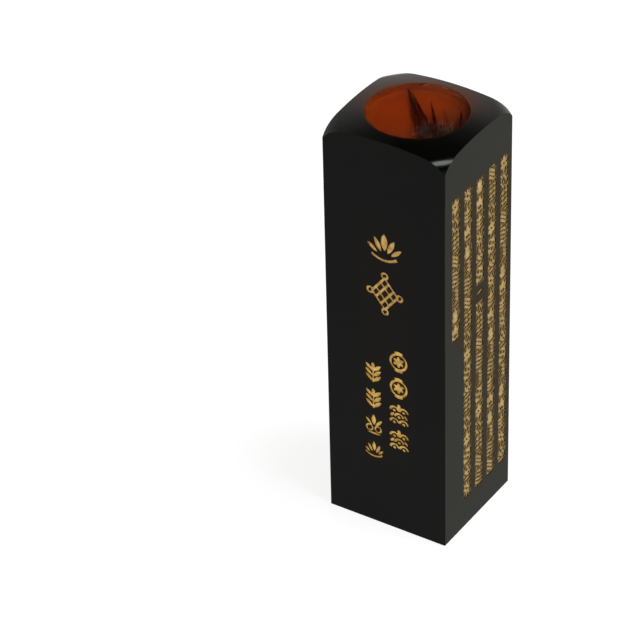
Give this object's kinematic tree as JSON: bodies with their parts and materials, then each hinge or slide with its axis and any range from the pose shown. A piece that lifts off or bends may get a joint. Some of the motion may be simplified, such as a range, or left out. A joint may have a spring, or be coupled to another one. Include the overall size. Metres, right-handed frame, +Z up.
{
  "type": "keepsake seal stick",
  "caption": "Square black seal stick with a domed top, hair sealed in clear resin over a vermilion lining, gold-filled engraved ornament on its sides and a carved foot.",
  "frame": {"origin": "centre of the flat foot", "axes": "+Z up along the stick, -Y out of the face with the two large emblems, +X to the right of that face"},
  "size_m": [0.018, 0.0168, 0.061],
  "materials": {
    "black_body": "satin polished black",
    "gold_fill": "matte gold paint in the grooves",
    "vermilion_lining": "matte vermilion paste",
    "clear_resin": "polished clear casting resin",
    "hair": "fine dark hair"
  },
  "bodies": {
    "root": {"gold_back_column_1": "gold_fill", "gold_back_column_2": "gold_fill", "gold_back_column_3": "gold_fill", "gold_back_column_4": "gold_fill", "gold_back_column_5": "gold_fill", "gold_far_side_column_1": "gold_fill", "gold_far_side_column_2": "gold_fill", "gold_far_side_column_3": "gold_fill", "gold_far_side_column_4": "gold_fill", "gold_far_side_column_5": "gold_fill", "gold_front_left_column": "gold_fill", "gold_front_right_column": "gold_fill", "gold_lower_emblem": "gold_fill", "gold_near_side_column_1": "gold_fill", "gold_near_side_column_2": "gold_fill", "gold_near_side_column_3": "gold_fill", "gold_near_side_column_4": "gold_fill", "gold_near_side_column_5": "gold_fill", "gold_upper_emblem": "gold_fill", "hair_lock_edge": "hair", "hair_lock_main": "hair", "hair_lock_middle": "hair", "hair_lock_thin": "hair", "resin_fill": "clear_resin", "seal_body": "black_body", "well_lining": "vermilion_lining"}
  },
  "joints": []
}
